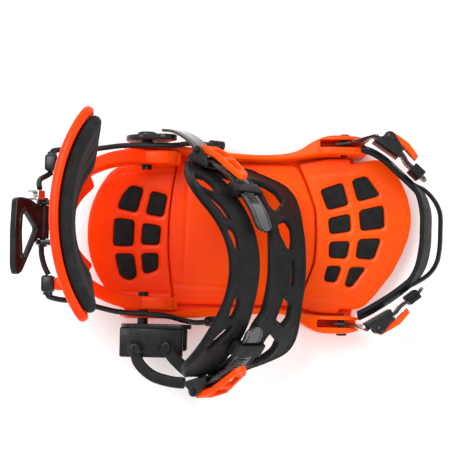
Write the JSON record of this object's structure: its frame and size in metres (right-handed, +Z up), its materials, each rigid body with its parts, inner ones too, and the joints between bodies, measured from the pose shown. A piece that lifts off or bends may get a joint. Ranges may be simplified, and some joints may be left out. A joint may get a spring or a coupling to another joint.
{
  "type": "snowboard binding",
  "caption": "Rear-entry snowboard binding: padded baseplate with a reclining highback, cable and release lever, and ankle and toe straps with ratchet buckles.",
  "frame": {"origin": "centre of the mounting disc, on the face that rests on the board", "axes": "+X to the boot's toe, +Y to the big-toe side, +Z up from the board"},
  "size_m": [0.3134, 0.2006, 0.2302],
  "materials": {
    "orange_plastic": "glossy moulded orange nylon",
    "black_plastic": "satin moulded black",
    "ladder_plastic": "glossy black",
    "strap_rubber": "matte moulded strap",
    "eva_foam": "matte closed-cell foam",
    "bright_steel": "satin steel",
    "black_steel": "black coated steel",
    "cable_jacket": "black cable jacket",
    "red_plastic": "dark red moulded"
  },
  "bodies": {
    "base": {"baseplate": "orange_plastic", "mounting_disc": "black_plastic", "heel_footbed": "orange_plastic", "centre_cover": "orange_plastic", "toe_ramp": "orange_plastic", "heel_cushion": "eva_foam", "toe_cushion": "eva_foam", "pivot_bolt_left": "black_steel", "pivot_bolt_right": "black_steel", "cable_anchor_left": "black_plastic", "cable_anchor_right": "black_plastic", "toe_bolt_left": "black_steel", "toe_bolt_right": "black_steel"},
    "highback": {"heel_loop": "orange_plastic", "highback_shell": "orange_plastic", "highback_pad": "eva_foam", "lever_pin": "black_steel", "loop_screw_left": "black_steel", "loop_screw_right": "black_steel", "cable_guide_left": "black_plastic", "cable_guide_right": "black_plastic", "cable_left": "cable_jacket", "cable_right": "cable_jacket", "cable_rear_left": "cable_jacket", "cable_rear_right": "cable_jacket"},
    "lever": {"release_lever": "black_plastic", "cable_clevis": "bright_steel"},
    "ankle_strap": {"hinge_arm_left": "black_plastic", "hinge_bracket_right": "black_plastic", "ankle_strap_upper": "strap_rubber", "ankle_strap_lower": "strap_rubber", "rear_link": "black_plastic", "front_link": "black_plastic", "rear_link_pin": "black_steel", "front_link_pin": "black_steel", "ankle_ladder_left": "ladder_plastic", "ankle_ladder_right": "ladder_plastic", "buckle_frame_ankle_left": "black_plastic", "buckle_pin_ankle_left": "black_steel", "ladder_keeper_ankle_left": "strap_rubber", "buckle_frame_ankle_right": "black_plastic", "buckle_pin_ankle_right": "black_steel", "ladder_keeper_ankle_right": "strap_rubber"},
    "toe_strap": {"toe_strap": "strap_rubber", "toe_ladder_left": "ladder_plastic", "toe_ladder_right": "ladder_plastic", "buckle_frame_toe_left": "black_plastic", "buckle_pin_toe_left": "black_steel", "ladder_keeper_toe_left": "strap_rubber", "buckle_frame_toe_right": "black_plastic", "buckle_pin_toe_right": "black_steel", "ladder_keeper_toe_right": "strap_rubber"},
    "buckle_lever_ankle_left": {"buckle_lever_ankle_left": "orange_plastic"},
    "buckle_pawl_ankle_left": {"buckle_pawl_ankle_left": "red_plastic"},
    "buckle_lever_ankle_right": {"buckle_lever_ankle_right": "orange_plastic"},
    "buckle_pawl_ankle_right": {"buckle_pawl_ankle_right": "red_plastic"},
    "buckle_lever_toe_left": {"buckle_lever_toe_left": "orange_plastic"},
    "buckle_pawl_toe_left": {"buckle_pawl_toe_left": "red_plastic"},
    "buckle_lever_toe_right": {"buckle_lever_toe_right": "orange_plastic"},
    "buckle_pawl_toe_right": {"buckle_pawl_toe_right": "red_plastic"}
  },
  "joints": [
    {"name": "highback_recline", "type": "hinge", "parent": "base", "child": "highback", "pos_m": [-0.079, 0, 0.038], "axis": [0, -1, 0], "range_deg": [0, 58], "deforming": ["cable_left", "cable_right"]},
    {"name": "release_lever_turn", "type": "hinge", "parent": "highback", "child": "lever", "pos_m": [-0.1472, 0, 0.106], "axis": [0, -1, 0], "range_deg": [0, 85], "deforming": ["cable_rear_left"]},
    {"name": "ankle_strap_lift", "type": "hinge", "parent": "base", "child": "ankle_strap", "pos_m": [-0.079, 0, 0.038], "axis": [0, -1, 0], "range_deg": [0, 23.5]},
    {"name": "toe_strap_tilt", "type": "hinge", "parent": "base", "child": "toe_strap", "pos_m": [0.071, 0, 0.029], "axis": [0, -1, 0], "range_deg": [-4, 60]},
    {"name": "buckle_lever_ankle_left_turn", "type": "hinge", "parent": "ankle_strap", "child": "buckle_lever_ankle_left", "pos_m": [-0.03205, 0.05674, 0.07222], "axis": [-0.6947, 0, 0.7193], "range_deg": [0, 75], "stiffness_Nm_per_rad": 0.02, "springref_deg": -17.19},
    {"name": "buckle_pawl_ankle_left_lift", "type": "hinge", "parent": "ankle_strap", "child": "buckle_pawl_ankle_left", "pos_m": [-0.02356, 0.04998, 0.08041], "axis": [0.6947, 0, -0.7193], "range_deg": [0, 12], "stiffness_Nm_per_rad": 0.01, "springref_deg": -17.19},
    {"name": "buckle_lever_ankle_right_turn", "type": "hinge", "parent": "ankle_strap", "child": "buckle_lever_ankle_right", "pos_m": [-0.03082, -0.11816, 0.0734], "axis": [0.6947, 0, -0.7193], "range_deg": [0, 95], "stiffness_Nm_per_rad": 0.02, "springref_deg": -17.19},
    {"name": "buckle_pawl_ankle_right_lift", "type": "hinge", "parent": "ankle_strap", "child": "buckle_pawl_ankle_right", "pos_m": [-0.02175, -0.11308, 0.08216], "axis": [-0.6947, 0, 0.7193], "range_deg": [0, 12], "stiffness_Nm_per_rad": 0.01, "springref_deg": -17.19},
    {"name": "buckle_lever_toe_left_turn", "type": "hinge", "parent": "toe_strap", "child": "buckle_lever_toe_left", "pos_m": [0.10247, 0.07288, 0.05], "axis": [0, 0, 1], "range_deg": [0, 95], "stiffness_Nm_per_rad": 0.02, "springref_deg": -17.19},
    {"name": "buckle_pawl_toe_left_lift", "type": "hinge", "parent": "toe_strap", "child": "buckle_pawl_toe_left", "pos_m": [0.11285, 0.06411, 0.05], "axis": [0, 0, -1], "range_deg": [0, 12], "stiffness_Nm_per_rad": 0.01, "springref_deg": -17.19},
    {"name": "buckle_lever_toe_right_turn", "type": "hinge", "parent": "toe_strap", "child": "buckle_lever_toe_right", "pos_m": [0.0973, -0.07025, 0.05], "axis": [0, 0, -1], "range_deg": [0, 95], "stiffness_Nm_per_rad": 0.02, "springref_deg": -17.19},
    {"name": "buckle_pawl_toe_right_lift", "type": "hinge", "parent": "toe_strap", "child": "buckle_pawl_toe_right", "pos_m": [0.10803, -0.06192, 0.05], "axis": [0, 0, 1], "range_deg": [0, 12], "stiffness_Nm_per_rad": 0.01, "springref_deg": -17.19}
  ],
  "couplings": [
    {"joint": "ankle_strap_lift", "follows": "highback_recline", "ratio": 0.4}
  ]
}
